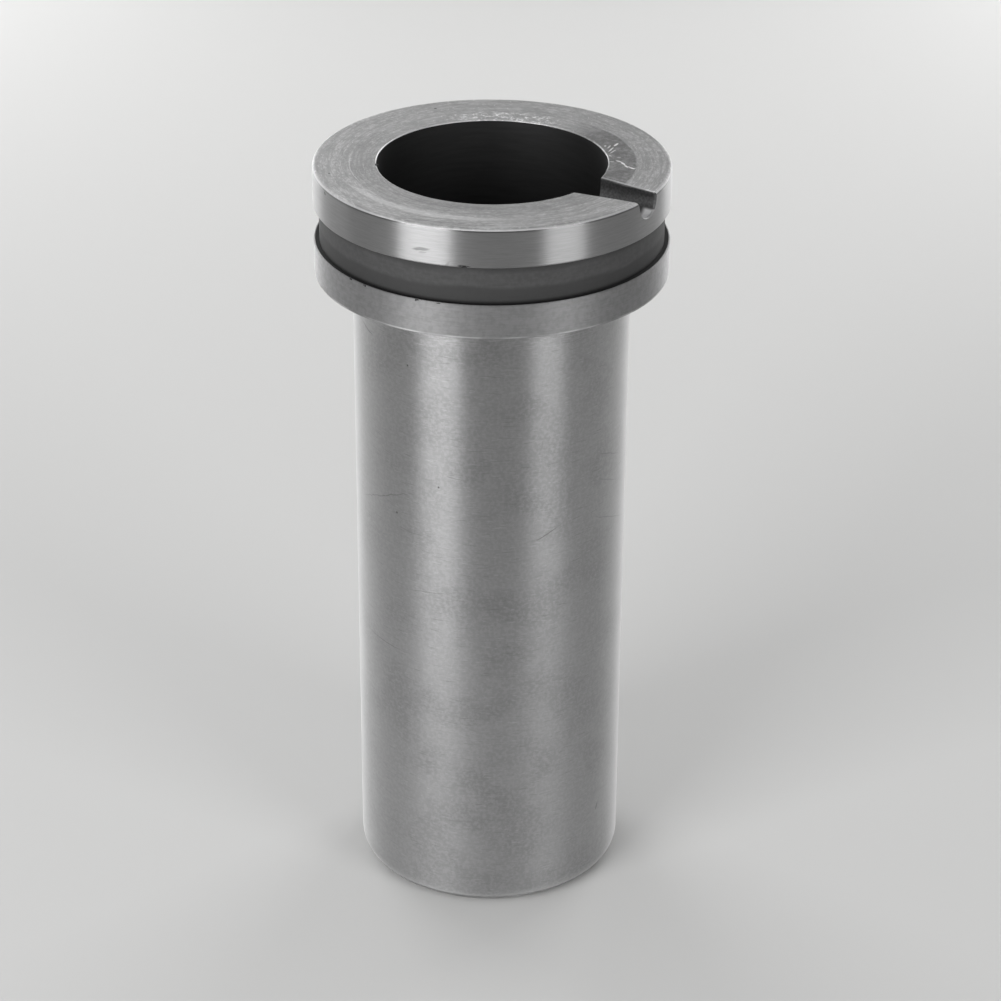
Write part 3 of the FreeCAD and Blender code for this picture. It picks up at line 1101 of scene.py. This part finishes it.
# Lamps: name, angle round the axis, then distance, width, height, height of
# the middle (metres) and brightness. Their angles are counted from the
# camera's, and angle 0 is the notch's side, as in the frame.
CAMERA_ANGLE = -56.7
STANDING_LAMPS = (
    ("lamp_front_left", CAMERA_ANGLE - 41.0, 0.62, 0.36, 0.50, 0.27, 6.8),
    ("lamp_front_right", CAMERA_ANGLE + 45.0, 0.62, 0.28, 0.50, 0.27, 4.3),
    ("lamp_side_left", CAMERA_ANGLE - 113.0, 0.62, 0.36, 0.50, 0.27, 0.6),
    ("lamp_side_right", CAMERA_ANGLE + 116.0, 0.62, 0.36, 0.50, 0.27, 0.3),
    ("lamp_back_left", CAMERA_ANGLE - 147.0, 0.62, 0.40, 0.50, 0.27, 3.7),
    ("lamp_back_right", CAMERA_ANGLE + 147.0, 0.62, 0.36, 0.50, 0.27, 3.7),
    ("lamp_behind", CAMERA_ANGLE - 165.0, 1.20, 0.80, 0.50, 0.65, 0.8),
)

# The lamp overhead: name, then height, side (metres) and brightness.
OVERHEAD_LAMP = ("lamp_overhead", 0.9, 1.1, 0.5)

# How bright the even light from all round is.
WORLD_STRENGTH = 0.15

# The floor's side, in metres, and its finish.
FLOOR_SIZE = 8.0
FLOOR_ROUGHNESS = 0.9
FLOOR_SPECULAR = 0.2

# Beyond the lamps, between these distances from the axis (metres), the floor
# turns as pale to the eye and in reflections as the lit floor is.
FAR_FLOOR = (0.5, 0.72)
FAR_FLOOR_GLOW = 0.6
FAR_FLOOR_COLOUR = (1.0, 1.0, 0.99, 1.0)


def area_lamp(name, place, facing, width, height, brightness):
    """An area lamp of a plain brightness that faces a point."""
    data = bpy.data.lights.new(name, "AREA")
    data.shape = "RECTANGLE"
    data.size, data.size_y = width, height
    data.energy = brightness * math.pi * width * height
    lamp = bpy.data.objects.new(name, data)
    lamp.location = place
    away = np.array(place) - np.array(facing)
    level = math.hypot(away[0], away[1])
    heading = math.atan2(away[1], away[0]) + math.pi / 2
    lamp.rotation_euler = (math.atan2(level, away[2]), 0.0, heading)
    lamp.visible_camera = False
    bpy.context.scene.collection.objects.link(lamp)


def studio_lamps():
    """Tall soft lamps round the piece and a wide one overhead."""
    for name, angle, distance, width, height, middle, brightness in STANDING_LAMPS:
        turn = math.radians(angle)
        place = (distance * math.cos(turn), distance * math.sin(turn), middle)
        area_lamp(name, place, (0.0, 0.0, middle), width, height, brightness)
    name, height, side, brightness = OVERHEAD_LAMP
    area_lamp(name, (0.0, 0.0, height), (0.0, 0.0, 0.0), side, side, brightness)


def studio_floor(colour):
    """A wide plain floor at the foot's height."""
    half = FLOOR_SIZE / 2
    corners = [(-half, -half, 0.0), (half, -half, 0.0), (half, half, 0.0), (-half, half, 0.0)]
    floor = new_piece("studio_floor", corners, [np.array([[0, 1, 2, 3]])])
    material, tree, shader = new_material("floor_paint")
    distance = vector_calc(tree, "LENGTH", {0: own_place(tree)}, "Value")
    path = put(tree, "ShaderNodeLightPath").outputs
    seen = strongest(tree, [path[f"Is {kind} Ray"] for kind in ("Camera", "Glossy", "Transmission")])
    feed(tree, shader, {
        "Base Color": colour,
        "Roughness": FLOOR_ROUGHNESS,
        "Specular IOR Level": FLOOR_SPECULAR,
        "Emission Color": FAR_FLOOR_COLOUR,
        "Emission Strength": product(tree, fade(tree, distance, *FAR_FLOOR), FAR_FLOOR_GLOW, seen),
    })
    floor.data.materials.append(material)


def studio_world():
    """An even soft light from all round."""
    world = bpy.data.worlds.new("studio")
    world.use_nodes = True
    bpy.context.scene.world = world
    tree = world.node_tree
    background = tree.nodes["Background"]
    background.inputs["Color"].default_value = (1.0, 1.0, 1.0, 1.0)
    background.inputs["Strength"].default_value = WORLD_STRENGTH


def studio_camera(settings):
    """The camera, which looks down at the piece from the notch's side."""
    data = bpy.data.cameras.new("camera")
    data.lens = settings.lens
    camera = bpy.data.objects.new("camera", data)
    camera.location = settings.place
    camera.rotation_euler = settings.turn
    bpy.context.scene.collection.objects.link(camera)
    bpy.context.scene.camera = camera


# Operators and panel

class MakeCrucible(Operator):
    """Turn the crucible, cut its notch and give it its graphite"""

    bl_idname = "crucible.make"
    bl_label = "Make the crucible"

    def execute(self, context):
        sizes = context.scene.crucible_sizes
        colours = context.scene.crucible_colours
        piece = turned_piece("turned_crucible", sizes)
        cutter = notch_cutter(sizes)
        made = groups()
        for material in (
            turned_material(made, colours.turned),
            collared_material(made, colours.collared),
            faced_material(made, colours.faced),
            grooved_material(made, colours.grooved),
            bored_material(made, colours.bored),
            filed_material(made, colours.filed),
        ):
            piece.data.materials.append(material)
            cutter.data.materials.append(material)
        cutter.data.polygons.foreach_set(
            "material_index", np.full(len(cutter.data.polygons), FILED, np.int32))
        cut_away(piece, cutter)
        sort_faces(piece, sizes)
        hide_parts("crucible")
        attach(piece, "root")
        return {"FINISHED"}


class MakeStudio(Operator):
    """Make the floor, the lamps, the sky and the camera"""

    bl_idname = "crucible.make_studio"
    bl_label = "Make the studio"

    def execute(self, context):
        scene = context.scene
        studio_floor(scene.crucible_colours.floor)
        studio_lamps()
        studio_world()
        studio_camera(scene.crucible_camera)
        scene.view_settings.view_transform = "Standard"
        return {"FINISHED"}


class CruciblePanel(Panel):
    """Lists the sizes, the colours and the steps"""

    bl_idname = "VIEW3D_PT_crucible"
    bl_label = "Crucible"
    bl_space_type = "VIEW_3D"
    bl_region_type = "UI"
    bl_category = "Crucible"

    def draw(self, context):
        layout = self.layout
        for group in SETTINGS.values():
            settings = getattr(context.scene, group)
            for name in settings.bl_rna.properties.keys():
                if name not in ("rna_type", "name"):
                    layout.prop(settings, name)
        layout.operator(MakeCrucible.bl_idname)
        layout.operator(MakeStudio.bl_idname)


SETTINGS = {
    CrucibleSizes: "crucible_sizes",
    CrucibleColours: "crucible_colours",
    StudioCamera: "crucible_camera",
}
CLASSES = (*SETTINGS, MakeCrucible, MakeStudio, CruciblePanel)


def register():
    """Register the classes and put the settings on the scene."""
    for item in CLASSES:
        bpy.utils.register_class(item)
    for group, name in SETTINGS.items():
        setattr(bpy.types.Scene, name, PointerProperty(type=group))


def unregister():
    """Take the settings off the scene and remove the classes."""
    for name in SETTINGS.values():
        delattr(bpy.types.Scene, name)
    for item in reversed(CLASSES):
        bpy.utils.unregister_class(item)


def main():
    """Make everything."""
    register()
    bpy.ops.crucible.make()
    bpy.ops.crucible.make_studio()


if __name__ == "__main__":
    main()
